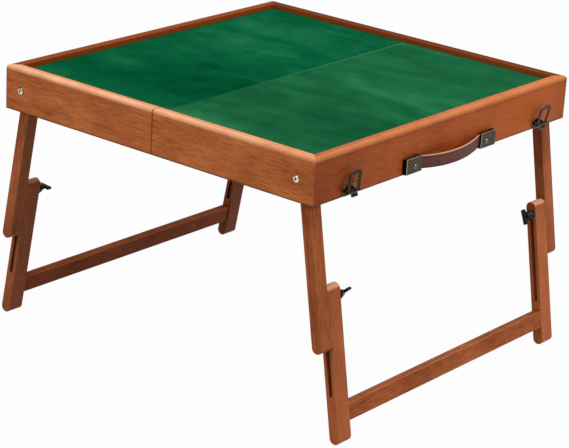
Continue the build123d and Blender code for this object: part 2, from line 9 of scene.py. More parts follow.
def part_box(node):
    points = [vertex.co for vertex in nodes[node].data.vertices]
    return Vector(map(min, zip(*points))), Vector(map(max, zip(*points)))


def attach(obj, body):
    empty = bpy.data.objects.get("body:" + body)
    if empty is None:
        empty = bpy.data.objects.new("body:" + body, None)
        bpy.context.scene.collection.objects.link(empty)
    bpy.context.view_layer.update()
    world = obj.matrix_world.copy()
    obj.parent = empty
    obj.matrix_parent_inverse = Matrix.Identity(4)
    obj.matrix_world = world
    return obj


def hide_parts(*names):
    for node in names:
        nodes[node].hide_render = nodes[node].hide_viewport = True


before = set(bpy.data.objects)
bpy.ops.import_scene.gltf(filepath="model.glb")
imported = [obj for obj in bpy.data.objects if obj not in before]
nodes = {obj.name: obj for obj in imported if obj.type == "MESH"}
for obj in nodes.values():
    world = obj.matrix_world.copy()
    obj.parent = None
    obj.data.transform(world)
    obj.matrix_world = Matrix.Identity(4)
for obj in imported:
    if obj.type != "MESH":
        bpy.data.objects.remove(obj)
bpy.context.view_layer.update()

MM = 0.001
HALVES = ("right", "left")
ENDS = ("front", "back")

# Places read from the frame
case_low, case_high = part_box("right_front_rail")[0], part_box("right_end_rail")[1]
half_length = case_high.x
half_width = case_high.y
case_bottom = case_low.z
case_top = case_high.z

# Camera
camera_azimuth = 38.430
camera_elevation = 20.007
camera_roll = 3.355
camera_distance = 3.6522
camera_right = 0.0032
camera_up = -0.2643
camera_lens = 134.84
sensor_width = 36.0

# Sizes that the materials and the soft pieces follow
felt_clearance = 0.2 * MM
rim_width = half_length - felt_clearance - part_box("right_felt")[1].x
splay = math.radians(9.9)
strap_thickness = 4 * MM
strap_height = 22.5 * MM
strap_bow = 13 * MM
strap_sag = 4 * MM
strap_free_half = 83.5 * MM

# Sockets of the colour mix node, and samples of the nodes that look at other surfaces
mix_first, mix_second, mix_result = 6, 7, 2
shade_samples = 8
bevel_samples = 6


# Shader helpers
class Nodes:
    """A shader tree, with short calls for the nodes that repeat. A span is (low, high)."""

    def __init__(self, tree):
        self.tree = tree

    def give(self, socket, value):
        """Link an output to a socket, or set the socket to a value."""
        if isinstance(value, bpy.types.NodeSocket):
            self.tree.links.new(value, socket)
        else:
            socket.default_value = value

    def node(self, kind, inputs=None, **settings):
        """Add one shader node, set its properties, and set or link its inputs."""
        made = self.tree.nodes.new("ShaderNode" + kind)
        for key, value in settings.items():
            setattr(made, key, value)
        for key, value in (inputs or {}).items():
            self.give(made.inputs[key], value)
        return made

    def sum_of(self, operation, a, b=0.0, clamp=False):
        """The result of one sum on one or two values."""
        made = self.node("Math", {0: a, 1: b}, operation=operation, use_clamp=clamp)
        return made.outputs[0]

    def times(self, a, b, clamp=False):
        """Two values multiplied."""
        return self.sum_of("MULTIPLY", a, b, clamp)

    def plus(self, a, b):
        """Two values added."""
        return self.sum_of("ADD", a, b)

    def minus(self, a, b):
        """The first value less the second."""
        return self.sum_of("SUBTRACT", a, b)

    def smaller(self, a, b):
        """The smaller of two values."""
        return self.sum_of("MINIMUM", a, b)

    def larger(self, a, b):
        """The larger of two values."""
        return self.sum_of("MAXIMUM", a, b)

    def size(self, a):
        """A value without its sign."""
        return self.sum_of("ABSOLUTE", a)

    def off(self, a, b):
        """How far one value is from another."""
        return self.size(self.minus(a, b))

    def weighted(self, *parts):
        """The sum of (value, share) parts."""
        total = None
        for value, share in parts:
            part = self.times(value, share)
            total = part if total is None else self.plus(total, part)
        return total

    def rise(self, value, span):
        """0 below the span and 1 above it, smooth between."""
        return self.step(value, span, 0.0, 1.0)

    def fall(self, value, span):
        """1 below the span and 0 above it, smooth between."""
        return self.step(value, span, 1.0, 0.0)

    def step(self, value, span, first, last):
        """The first value below the span and the last above it, smooth between."""
        inputs = {"Value": value, "From Min": span[0], "From Max": span[1],
                  "To Min": first, "To Max": last}
        return self.node("MapRange", inputs, interpolation_type="SMOOTHSTEP").outputs["Result"]

    def noise(self, vector, scale=1.0, detail=2.0, roughness=0.5, distortion=0.0):
        """A noise value."""
        inputs = {"Vector": vector, "Scale": scale, "Detail": detail, "Roughness": roughness,
                  "Distortion": distortion}
        return self.node("TexNoise", inputs).outputs["Fac"]

    def vector_sum(self, operation, a, b, output=0):
        """The result of one sum on two vectors."""
        return self.node("VectorMath", {0: a, 1: b}, operation=operation).outputs[output]

    def ramp(self, value, places, colours):
        """A colour ramp through the colours at the places."""
        made = self.node("ValToRGB", {"Fac": value})
        elements = made.color_ramp.elements
        while len(elements) < len(places):
            elements.new(1.0)
        for element, place, colour in zip(elements, places, colours):
            element.position = place
            element.color = (*colour, 1.0)
        return made.outputs["Color"]

    def mixed(self, factor, a, b):
        """Two colours mixed by a factor."""
        made = self.node("Mix", {"Factor": factor}, data_type="RGBA", blend_type="MIX")
        for index, value in ((mix_first, a), (mix_second, b)):
            socket = isinstance(value, bpy.types.NodeSocket)
            self.give(made.inputs[index], value if socket else (*value, 1.0))
        return made.outputs[mix_result]


class Look(Nodes):
    """A material in the making: where and which way it faces, and its colour so far."""

    def __init__(self, name, roughness=0.5, gloss=0.5, metallic=0.0):
        self.material, self.shader = new_material(name, roughness)
        super().__init__(self.material.node_tree)
        self.shader.inputs["Specular IOR Level"].default_value = gloss
        self.shader.inputs["Metallic"].default_value = metallic
        coordinates = self.node("TexCoord").outputs
        self.place = coordinates["Object"]
        self.normal = coordinates["Normal"]
        self.colour = None

    @cached_property
    def axes(self):
        """X, Y and Z of the place on the piece, in metres."""
        return self.node("SeparateXYZ", {"Vector": self.place}).outputs

    @cached_property
    def facing(self):
        """X, Y and Z of the way that the surface faces."""
        return self.node("SeparateXYZ", {"Vector": self.normal}).outputs

    def tint(self, factor, share, colour):
        """Mix a colour in by a factor times a share."""
        self.colour = self.mixed(self.times(factor, share), self.colour, colour)

    def shade_near(self, distance, span, share, colour):
        """Paint shade: mix a colour in where other surfaces are close."""
        inputs = {"Distance": distance}
        seen = self.node("AmbientOcclusion", inputs, samples=shade_samples).outputs["AO"]
        self.tint(self.fall(seen, span), share, colour)

    def rough(self, value, share, plain):
        """Roughness that follows a value."""
        self.give(self.shader.inputs["Roughness"], self.plus(self.times(value, share), plain))

    def relief(self, height, distance, strength):
        """Give the surface fine relief."""
        inputs = {"Height": height, "Distance": distance, "Strength": strength}
        self.give(self.shader.inputs["Normal"], self.node("Bump", inputs).outputs["Normal"])

    def squareness(self):
        """How squarely the surface faces along one of the axes."""
        sides = [self.size(side) for side in self.facing]
        return self.larger(sides[0], self.larger(sides[1], sides[2]))

    def done(self):
        """The finished material."""
        self.give(self.shader.inputs["Base Color"], self.colour)
        return self.material


def new_material(name, roughness):
    """A new material and its Principled shader."""
    made = bpy.data.materials.new(name)
    made.use_nodes = True
    shader = made.node_tree.nodes["Principled BSDF"]
    shader.inputs["Roughness"].default_value = roughness
    return made, shader


def scaled(values, share):
    """Each value of a colour or a place times a share."""
    return tuple(value * share for value in values)


def dress(node, made):
    """Put one material on a piece."""
    mesh = nodes[node].data if isinstance(node, str) else node.data
    mesh.materials.clear()
    mesh.materials.append(made)


# Wood tones, from dark to light
wood_dark = (0.185, 0.040, 0.008)
leg_mid = (0.300, 0.073, 0.017)
shade_dark = (0.080, 0.014, 0.002)
rail_tones = (wood_dark, (0.408, 0.110, 0.026), (0.590, 0.200, 0.060))
end_tones = ((0.150, 0.022, 0.002), (0.350, 0.070, 0.009), (0.480, 0.125, 0.026))
leg_tones = ((0.115, 0.024, 0.005), leg_mid, (0.440, 0.135, 0.042))
# Painted shade: a darker copy of the leg tones, for the left back legs
shaded_back_leg_tones = (shade_dark, (0.165, 0.036, 0.006), leg_mid)
shade_tones = (shade_dark, (0.225, 0.045, 0.007), (0.340, 0.085, 0.020))
ply_tones = ((0.28, 0.16, 0.08), (0.46, 0.29, 0.15), (0.56, 0.38, 0.21))

# Wood tones of single places
end_back_tone = (0.52, 0.115, 0.012)
# Pale tops and inner lips of the front rails and the right end rail: partly wear, partly a painted
# highlight
rubbed_and_lit_wood = (0.75, 0.39, 0.220)
rubbed_and_lit_end = (0.445, 0.150, 0.050)
rubbed_and_lit_edge = (0.80, 0.50, 0.32)
# Painted shade on the rim's inner faces and inner arris
inner_shade = (0.060, 0.026, 0.006)
# Dark tops of the back rails and the left end rail: painted shade
back_top_shade = (0.090, 0.014, 0.001)
far_top_shade = (0.175, 0.036, 0.005)
# Painted light: the leg ends that face up are paler
lit_end = (0.74, 0.36, 0.22)
# Paler leg arrises: partly wear, partly a painted highlight
worn_and_lit_arris = (0.60, 0.24, 0.11)
# Painted light: the legs are paler towards the feet
lit_foot_wood = (0.56, 0.150, 0.046)

# Wood figure: each pattern's length and width along and across the grain
wave_cell = (0.35, 0.06)
band_cell = (0.55, 0.013)
fibre_cell = (0.030, 0.0017)
fleck_cell = (0.012, 0.0011)
patch_scale = 9.0
ring_scale = 420.0
seed_step = (3.1, 1.7, 2.3)

# Wood figure: how much each pattern gives to the tone, and where the tones lie
band_share, fibre_share, patch_share, wave_share = 0.15, 0.59, 0.34, 0.12
wood_places = (0.45, 0.61, 0.77)

# Wood surface: where each mark shows, how strongly and how dark
pore_span, pore_share, pore_depth = (0.58, 0.70), 0.34, 0.35
end_grain_span, ring_span, ring_share = (0.55, 0.95), (0.42, 0.58), 0.35
# Painted shade on faces that look down
under_shade_span, under_shade_share, under_shade_tone = (0.30, 0.90), 0.75, 0.5
# Painted shade in the contact lines and corners between pieces
contact_shade_reach, contact_shade_span, contact_shade_share, contact_shade_tone = 6 * MM, (0.20, 0.80), 0.6, 0.4
fibre_shine, shine_below = 0.16, 0.08
fibre_relief, fibre_strength = 0.10 * MM, 0.5


def wood(name, grain, seed, tones, satin=0.40, gloss=0.14):
    """Straight-grained stained hardwood whose fibres run along the given direction."""
    look = Look(name, satin, gloss)
    along_x = Vector(grain).rotation_difference(Vector((1, 0, 0))).to_euler()
    along = look.node("Mapping", {"Vector": look.place, "Rotation": along_x}).outputs[0]
    shifted = look.vector_sum("ADD", along, scaled(seed_step, seed))

    def stretched(cell):
        length, width = cell
        scale = (1 / length, 1 / width, 1 / width)
        return look.node("Mapping", {"Vector": shifted, "Scale": scale}).outputs[0]

    waves = look.noise(stretched(wave_cell), detail=1.0)
    bands = look.noise(stretched(band_cell), detail=3.0, roughness=0.55, distortion=0.6)
    fibres = look.noise(stretched(fibre_cell), detail=4.0, roughness=0.70)
    flecks = look.noise(stretched(fleck_cell), detail=1.0)
    patches = look.noise(shifted, patch_scale, detail=3.0, roughness=0.6)
    tone = look.weighted((bands, band_share), (fibres, fibre_share), (patches, patch_share),
                         (waves, wave_share))
    look.colour = look.ramp(tone, wood_places, tones)

    dark = tones[0]
    pores = look.rise(flecks, pore_span)
    look.tint(pores, pore_share, dark)
    lengthways = look.vector_sum("DOT_PRODUCT", look.normal, Vector(grain).normalized(), "Value")
    end_grain = look.rise(look.size(lengthways), end_grain_span)
    rings = look.rise(look.noise(look.place, ring_scale, roughness=0.6), ring_span)
    look.tint(end_grain, look.times(rings, ring_share), dark)
    # Painted shade: faces that look down are darker
    downwards = look.times(look.facing["Z"], -1.0)
    look.tint(look.rise(downwards, under_shade_span), under_shade_share, scaled(dark, under_shade_tone))
    # Painted shade where other pieces are close
    look.shade_near(contact_shade_reach, contact_shade_span, contact_shade_share, scaled(dark, contact_shade_tone))

    look.rough(fibres, fibre_shine, satin - shine_below)
    height = look.minus(fibres, look.times(pores, pore_depth))
    look.relief(height, fibre_relief, fibre_strength)
    return look


# Rails: lines at the joints and arrises, as distances over which they fade, and their shares
rail_gloss, dark_rail_gloss = 0.10, 0.02
mitre_span, mitre_share = (0.3 * MM, 0.8 * MM), 0.6
joint_span, joint_share = (0.7 * MM, 1.4 * MM), 0.8
inner_shade_span, inner_shade_share = (rim_width - 3.2 * MM, rim_width - 2.0 * MM), 0.85
# Painted shade: a dark line along the lowest edge of the rails
bottom_shade_span, bottom_shade_share, bottom_shade_tone = (1.4 * MM, 3.2 * MM), 0.90, 0.4
lip_middle, lip_span = rim_width - 5.5 * MM, (1.0 * MM, 2.4 * MM)
lip_depth_span = (0.8 * MM, 2.0 * MM)
side_lip_share, end_lip_share = 0.40, 0.15
# Painted shade on the tops of the rails without a pale top
shaded_top_span, shaded_top_share = (0.05, 0.60), 0.95

# Rails: the paler outer arris, partly wear and partly a painted highlight, with how far inwards
# counts beside how far down
inwards_share, arris_span = 0.6, (4.0 * MM, 8.5 * MM)
scuff_scale, scuff_share, scuff_least = 26.0, 0.8, 0.30
near_corner_span, near_corner_share = (0.05, half_length), 0.5
dark_line_depth, dark_line_span, dark_line_share = 9.2 * MM, (0.4 * MM, 1.6 * MM), 0.40

# End rails: darker at the front, paler and more orange towards the back, darker at both corners
front_dark_span, front_dark_share = (-half_width, -0.05), 0.5
back_tone_span, back_tone_share = (-0.05, half_width), 0.6
corner_span, corner_share = (1.0 * MM, 4.5 * MM), 0.45
far_corner_span, far_half_span, far_corner_share = (0.0, 0.070), (0.0, 0.1), 0.35


def rail_wood(name, grain, seed, tones, tone_mark, pale_top=True, across=False):
    """Rail wood with a mitre line at the case corners; a pale top is wear with a painted
    highlight, a dark top is painted shade.
    """
    look = wood(name, grain, seed, tones, gloss=rail_gloss if pale_top else dark_rail_gloss)
    x, y, z = look.axes
    from_end = look.minus(half_length, look.size(x))
    from_side = look.minus(half_width, look.size(y))
    inwards = look.smaller(from_end, from_side)
    depth = look.minus(case_top, z)
    if across:
        look.tint(look.fall(y, front_dark_span), front_dark_share, tones[0])
        look.tint(look.rise(y, back_tone_span), back_tone_share, end_back_tone)
        look.tint(look.fall(from_side, corner_span), corner_share, wood_dark)
        far = look.times(look.fall(from_side, far_corner_span), look.rise(y, far_half_span))
        look.tint(far, far_corner_share, tones[0])
    if pale_top:
        rubbed_and_lit_top(look, inwards, depth, tones, tone_mark, across)
    else:
        # Painted shade: the top faces are darker
        look.tint(look.rise(look.facing["Z"], shaded_top_span), shaded_top_share, tone_mark)

    look.tint(look.fall(look.off(from_end, from_side), mitre_span), mitre_share, wood_dark)
    # Painted shade on the rim's inner faces and inner arris
    inner_shade_tone = inner_shade if pale_top else wood_dark
    look.tint(look.rise(inwards, inner_shade_span), inner_shade_share, inner_shade_tone)
    look.tint(look.fall(look.size(x), joint_span), joint_share, wood_dark)
    # Painted shade: a dark line along the lowest edge
    bottom_shade = look.fall(look.minus(z, case_bottom), bottom_shade_span)
    look.tint(bottom_shade, bottom_shade_share, scaled(wood_dark, bottom_shade_tone))
    return look.done()


def rubbed_and_lit_top(look, inwards, depth, tones, tone_mark, across):
    """The paler, scuffed outer arris and inner lip of a rail with a pale top: partly wear, partly
    a painted highlight.
    """
    corner = look.plus(look.times(inwards, inwards_share), depth)
    scuffs = look.noise(look.place, scuff_scale, detail=3.0, roughness=0.6)
    strength = look.plus(look.times(scuffs, scuff_share), scuff_least)
    # The outer arris is paler: partly wear, partly a painted highlight
    worn_and_lit = look.times(look.fall(corner, arris_span), strength, clamp=True)
    if not across:
        near = look.times(look.rise(look.axes["X"], near_corner_span), near_corner_share)
        worn_and_lit = look.times(worn_and_lit, look.minus(1.0, near))
    look.colour = look.mixed(worn_and_lit, look.colour, tone_mark)
    if across:
        # A darker line below the rounding of the end rail's top
        line = look.fall(look.off(corner, dark_line_depth), dark_line_span)
        look.tint(line, dark_line_share, tones[0])
    # The inner lip is a paler line: partly wear, partly a painted highlight
    lip = look.times(look.fall(look.off(inwards, lip_middle), lip_span),
                     look.fall(depth, lip_depth_span))
    look.tint(lip, end_lip_share if across else side_lip_share, rubbed_and_lit_edge)


# Legs: where they are paler: painted light on the ends that face up and towards the feet, and wear
# with a painted highlight on the arrises
leg_gloss, stretcher_gloss = 0.10, 0.06
lit_upwards_span, lit_upwards_share = (0.35, 0.80), 0.75
lit_foot_low, lit_foot_high, far_lit_foot_high, lit_foot_share = 0.02, 0.20, 0.36, 0.45
leg_arris_span, leg_arris_share = (0.78, 0.95), 0.4


def leg_wood(name, grain, seed, tones, foot_light, end_light, gloss, lit_to=lit_foot_high):
    """Leg wood with painted light on the ends that face up and towards the feet, and arrises paler
    from wear with a painted highlight.
    """
    look = wood(name, grain, seed, tones, gloss=gloss)
    # Painted light: paler towards the feet
    look.tint(look.fall(look.axes["Z"], (lit_foot_low, lit_to)), foot_light, lit_foot_wood)
    # Painted light: the ends that face up are paler
    look.tint(look.rise(look.facing["Z"], lit_upwards_span), end_light, lit_end)
    # Paler arrises: partly wear, partly a painted highlight
    look.tint(look.fall(look.squareness(), leg_arris_span), leg_arris_share, worn_and_lit_arris)
    return look.done()


# Grain directions, and steps that give each piece its own stretch of grain
along_case, across_case = (1, 0, 0), (0, 1, 0)
leg_seed, stretcher_seed, inside_seed, panel_seed, half_seed = 7, 3, 5, 9, 2
ply_satin = 0.6


def dress_wood():
    """Give each wooden piece its own stretch of grain."""
    seed = 1
    for half in HALVES:
        right = half == "right"
        lean = math.sin(splay) if right else -math.sin(splay)
        leg_grain = (lean, 0, -math.cos(splay))
        # Painted light towards the feet, on the right legs only
        foot_light = lit_foot_share if right else 0.0
        for end in ENDS:
            name = f"{half}_{end}_rail"
            pale_top = end == "front"
            top = rubbed_and_lit_wood if pale_top else back_top_shade
            dress(name, rail_wood(name, along_case, seed, rail_tones, top, pale_top))
            for leg in ("upper", "lower"):
                name = f"{half}_{leg}_leg_{end}"
                tones = shaded_back_leg_tones if (half, end) == ("left", "back") else leg_tones
                lit_to = far_lit_foot_high if (leg, end) == ("lower", "back") else lit_foot_high
                dress(name, leg_wood(name, leg_grain, seed + leg_seed + len(leg), tones,
                                     foot_light, lit_upwards_share, leg_gloss, lit_to))
                seed += 1
        name = f"{half}_end_rail"
        top = rubbed_and_lit_end if right else far_top_shade
        dress(name, rail_wood(name, across_case, seed, end_tones, top, right, across=True))
        name = f"{half}_stretcher"
        tones = leg_tones if right else shade_tones
        dress(name, leg_wood(name, across_case, seed + stretcher_seed, tones,
                             0.0, 0.0, stretcher_gloss))
        for name in (f"{half}_mid_rail", f"{half}_leg_stops"):
            dress(name, wood(name, across_case, seed + inside_seed, leg_tones).done())
        name = f"{half}_panel"
        dress(name, wood(name, across_case, seed + panel_seed, ply_tones, ply_satin).done())
        seed += half_seed


# Metals: colour, colour at the paler edges (partly wear, partly a painted highlight), roughness,
# and what differs from plain metal
brass_tone, brass_worn_and_lit = (0.82, 0.70, 0.46), (0.97, 0.92, 0.76)
metals = {
    "brass": dict(colour=brass_tone, worn_and_lit=brass_worn_and_lit, roughness=0.18),
    "bronze": dict(colour=(0.058, 0.044, 0.030), worn_and_lit=(0.62, 0.50, 0.38), roughness=0.32,
                   scale=260.0, contrast=0.26),
    "bolt_brass": dict(colour=brass_tone, worn_and_lit=brass_worn_and_lit, roughness=0.18,
                       edges=0.2, head=True),
    "loop_bronze": dict(colour=(0.034, 0.022, 0.008), worn_and_lit=(0.34, 0.24, 0.13), roughness=0.34,
                        scale=260.0, contrast=0.30, edges=0.45),
    "plate_bronze": dict(colour=(0.092, 0.074, 0.052), worn_and_lit=(0.66, 0.53, 0.41), roughness=0.40,
                         scale=320.0, contrast=0.32, plate=True),
    "rivet_bronze": dict(colour=(0.10, 0.08, 0.06), worn_and_lit=(0.45, 0.38, 0.30), roughness=0.16),
    "steel": dict(colour=(0.55, 0.55, 0.54), worn_and_lit=(0.80, 0.80, 0.78), roughness=0.32),
}

# Metal surface: where each mark shows and how strongly
# Painted shade: the dark of the plates' sides, the bolt heads' rims and the crevices
metal_shade = (0.006, 0.005, 0.004)
cloud_span, speck_finer = (0.38, 0.62), 9
edge_radius, edge_span, edge_least = 1.6 * MM, (0.86, 0.995), 0.25
plate_side_shade_span, plate_side_shade_share, chamfer_span = (0.80, 0.95), 0.9, (0.78, 0.95)
head_rim_shade_span, head_rim_shade_share = (0.60, 0.96), 0.92
# Painted shade in crevices and where the metal meets other pieces
crevice_reach, crevice_span, crevice_share = 3 * MM, (0.25, 0.75), 0.9
speck_rough, speck_below = 0.22, 0.11
speck_relief, speck_strength = 0.05 * MM, 0.4


def metal(name, colour, worn_and_lit, roughness, scale=180.0, contrast=0.62, edges=1.0,
          plate=False, head=False):
    """Plated or patinated metal, clouded, with finer scratches, edges paler from wear with a
    painted highlight, and painted shade on plate sides, bolt-head rims and in crevices.
    """
    look = Look(name, roughness, metallic=1.0)
    clouds = look.noise(look.place, scale, detail=4.0, roughness=0.6)
    specks = look.noise(look.place, scale * speck_finer)
    # Paler edges: partly wear, partly a painted highlight
    smooth = look.node("Bevel", {"Radius": edge_radius}, samples=bevel_samples).outputs[0]
    true = look.node("NewGeometry").outputs["Normal"]
    turned = look.vector_sum("DOT_PRODUCT", smooth, true, "Value")
    strength = look.plus(clouds, edge_least)
    tone_mark = look.times(look.fall(turned, edge_span), strength, clamp=True)
    look.colour = look.mixed(look.rise(clouds, cloud_span), colour, scaled(colour, contrast))
    if plate:
        # Painted shade: the plate's sides that face along Y are near black
        sideways = look.rise(look.size(look.facing["Y"]), plate_side_shade_span)
        look.tint(sideways, plate_side_shade_share, metal_shade)
        # The plate's chamfers are paler too: partly wear, partly a painted highlight
        tone_mark = look.larger(tone_mark, look.fall(look.squareness(), chamfer_span))
    look.tint(tone_mark, edges, worn_and_lit)
    if head:
        # Painted shade on the rim and socket walls of the bolt heads
        rim = look.fall(look.size(look.facing["Y"]), head_rim_shade_span)
        look.tint(rim, head_rim_shade_share, metal_shade)
    # Painted shade where other surfaces are close
    look.shade_near(crevice_reach, crevice_span, crevice_share, metal_shade)
    look.rough(specks, speck_rough, roughness - speck_below)
    look.relief(specks, speck_relief, speck_strength)
    return look.done()


# Knob plastic
plastic_dark, plastic_light = (0.002, 0.002, 0.003), (0.007, 0.007, 0.009)
plastic_gloss, haze_scale, haze_rough, plastic_rough = 0.16, 140.0, 0.20, 0.16
moulding_scale, moulding_relief, moulding_strength = 2600.0, 0.02 * MM, 0.3


def plastic(name):
    """Glossy black moulded plastic with faint handling haze."""
    look = Look(name, gloss=plastic_gloss)
    haze = look.noise(look.place, haze_scale, detail=3.0, roughness=0.6)
    look.colour = look.mixed(haze, plastic_dark, plastic_light)
    look.rough(haze, haze_rough, plastic_rough)
    moulding = look.noise(look.place, moulding_scale, detail=1.0)
    look.relief(moulding, moulding_relief, moulding_strength)
    return look.done()


def dress_metal():
    """Give the fittings their metals and the knobs their plastic."""
    made = {name: metal(name, **values) for name, values in metals.items()}
    made["knob_plastic"] = plastic("knob_plastic")
    fittings = {
        "bronze": ["latch_bases", "latch_screws", "catches", "catch_screws"],
        "plate_bronze": ["handle_plates"],
        "rivet_bronze": ["handle_rivets"],
        "steel": ["hinge_pins", "latch_pins"],
        "brass": [], "bolt_brass": [], "loop_bronze": [], "knob_plastic": [],
    }
    for end in ENDS:
        fittings["bronze"].append(f"latch_lever_{end}")
        fittings["loop_bronze"].append(f"latch_loop_{end}")
    for half in HALVES:
        fittings["bolt_brass"].append(f"{half}_pivot_bolts")
        fittings["brass"] += [f"{half}_leg_bushes", f"hinge_leaves_{half}", f"hinge_screws_{half}"]
        for name in ("pivot_washers", "pivot_nuts", "clamp_washers"):
            fittings["steel"].append(f"{half}_{name}")
        for end in ENDS:
            fittings["steel"].append(f"{half}_wing_stud_{end}")
            fittings["knob_plastic"].append(f"{half}_wing_knob_{end}")
    for name, pieces in fittings.items():
        for piece in pieces:
            dress(piece, made[name])


# Cloth: tones from dark to light, and how far back and how strongly the front is darker
felts = {
    "right": dict(tones=((0.003, 0.050, 0.018), (0.008, 0.083, 0.031), (0.022, 0.145, 0.064)),
                  seed=3.0, darker_band_to=-0.02, darker_band=-0.12),
    "left": dict(tones=((0.000, 0.040, 0.014), (0.002, 0.068, 0.026), (0.012, 0.122, 0.054)),
                 seed=8.0, darker_band_to=0.06, darker_band=-0.19),
}
felt_fold = (0.060, 0.240, 0.120)
# Painted shade near the rim, and a darker border that is dirt with painted shade
felt_shade_and_dirt = (0.012, 0.026, 0.004)
felt_places = (0.30, 0.50, 0.78)

# Cloth figure
cloth_seed_step, brush_scale = (1.0, 0.7, 0.0), (3.0, 9.0, 1.0)
blotch_scale, pile_scale, fuzz_scale = 22.0, 420.0, 1400.0
sweep_share, blotch_share, pile_share = 0.50, 0.34, 0.16
side_rub, side_rub_share = 0.06, 0.04
darker_band_from, darker_band_back, darker_band_front = -0.16, -0.22, -0.30
joint_side_span, joint_side_share, joint_side_least = (-0.24, -0.06), 0.70, 0.30
pale_patch_at, pale_patch_span, pale_patch_share = (-0.19, 0.12, case_top), (0.03, 0.17), 0.09
fold_span, fold_least = (0.6 * MM, 1.7 * MM), 0.15
fold_back_span, fold_back_share = (-0.25, 0.30), 0.6
cloth_shade_reach, cloth_shade_span, cloth_shade_share = 12 * MM, (0.35, 0.95), 0.8
border_span, border_share = (1.2 * MM, 4.0 * MM), 0.80
fuzz_relief, fuzz_strength = 0.35 * MM, 0.8


def felt_cloth(half, name):
    """Short-pile cloth, brushed unevenly, with a paler folded edge at the joint."""
    felt = felts[half]
    look = Look(name, roughness=1.0, gloss=0.0)
    x, y = look.axes["X"], look.axes["Y"]
    shifted = look.vector_sum("ADD", look.place, scaled(cloth_seed_step, felt["seed"]))
    brushed = look.node("Mapping", {"Vector": shifted, "Scale": brush_scale}).outputs[0]
    sweep = look.noise(brushed, detail=3.0, roughness=0.55, distortion=0.8)
    blotch = look.noise(shifted, blotch_scale, detail=4.0, roughness=0.6)
    pile = look.noise(shifted, pile_scale, roughness=0.6)
    from_side = look.minus(half_width, look.size(y))
    tone_mark = look.fall(from_side, (rim_width, rim_width + side_rub))
    darker_band = look.times(look.fall(y, (darker_band_from, felt["darker_band_to"])),
                         look.rise(y, (darker_band_front, darker_band_back)))
    parts = [(sweep, sweep_share), (blotch, blotch_share), (pile, pile_share),
             (tone_mark, side_rub_share)]
    if half == "left":
        near_joint = look.times(look.rise(x, joint_side_span), joint_side_share)
        darker_band = look.times(darker_band, look.plus(near_joint, joint_side_least))
        away = look.vector_sum("DISTANCE", look.place, pale_patch_at, "Value")
        parts.append((look.fall(away, pale_patch_span), pale_patch_share))
    parts.append((darker_band, felt["darker_band"]))
    look.colour = look.ramp(look.weighted(*parts), felt_places, felt["tones"])

    fold = look.fall(look.size(x), fold_span)
    strength = look.plus(look.times(look.rise(y, fold_back_span), fold_back_share), fold_least)
    look.tint(fold, strength, felt_fold)
    # Painted shade where the rim is close
    look.shade_near(cloth_shade_reach, cloth_shade_span, cloth_shade_share, felt_shade_and_dirt)
    # A darker border along the rim: dirt with painted shade
    from_end = look.minus(half_length, look.size(x))
    inset = look.minus(look.smaller(from_end, from_side), rim_width)
    look.tint(look.fall(inset, border_span), border_share, felt_shade_and_dirt)
    fuzz = look.noise(shifted, fuzz_scale, detail=1.0)
    look.relief(look.plus(pile, fuzz), fuzz_relief, fuzz_strength)
    return look.done()


# Cloth shape
felt_columns, felt_rows = 60, 120
felt_roll = 1.1 * MM
roll_shares = (0.0, 0.1, 0.3, 0.6, 1.0)
felt_sink = 0.15 * MM
wave_height, wave_x, wave_y, wave_phase = 0.10 * MM, 9.0, 7.0, 1.3
ripple_height, ripple_along, ripple_across = 0.05 * MM, (31.0, 17.0), (11.0, 23.0)


def height_at(x, y, seed):
    """Small unevenness of glued cloth."""
    wide = math.sin(wave_x * x + wave_phase * seed) * math.cos(wave_y * y + seed)
    fine = math.sin(ripple_along[0] * x + ripple_along[1] * y + seed)
    fine *= math.cos(ripple_across[1] * y - ripple_across[0] * x)
    return wave_height * wide + ripple_height * fine


def felt_top(half):
    """One half of the cloth: a thin sheet, rolled down along its folded edge and its borders."""
    low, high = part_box(f"{half}_felt")
    mesh = bmesh.new()
    xs = edge_places(low.x, high.x, felt_columns)
    ys = edge_places(low.y, high.y, felt_rows)
    grid = []
    for x in xs:
        line = []
        for y in ys:
            inset = min(x - low.x, high.x - x, y - low.y, high.y - y, felt_roll)
            drop = felt_roll - math.sqrt(max(felt_roll ** 2 - (felt_roll - inset) ** 2, 0.0))
            z = high.z - felt_sink + height_at(x, y, felts[half]["seed"]) - drop
            line.append(mesh.verts.new((x, y, z)))
        grid.append(line)
    for first, second in zip(grid, grid[1:]):
        for j in range(len(ys) - 1):
            mesh.faces.new((first[j], second[j], second[j + 1], first[j + 1]))
    piece = finished(mesh, f"{half}_felt_top")
    dress(piece, felt_cloth(half, f"{half}_felt_top"))
    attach(piece, f"case_{half}")
    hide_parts(f"{half}_felt")


def edge_places(low, high, count):
    """Even places from low to high, closer together in the rolled borders."""
    border = [felt_roll * share for share in roll_shares]
    free = high - low - 2 * felt_roll
    inner = [low + felt_roll + free * n / count for n in range(1, count)]
    return [low + b for b in border] + inner + [high - b for b in reversed(border)]


def finished(mesh, name):
    """Turn mesh code's result into a smooth object."""
    bmesh.ops.recalc_face_normals(mesh, faces=mesh.faces)
    data = bpy.data.meshes.new(name)
    mesh.to_mesh(data)
    mesh.free()
    piece = bpy.data.objects.new(name, data)
    bpy.context.scene.collection.objects.link(piece)
    for face in data.polygons:
        face.use_smooth = True
    return piece


# Leather
strap_dark = (0.050, 0.014, 0.009)
strap_tones = (strap_dark, (0.114, 0.032, 0.018), (0.140, 0.046, 0.031))
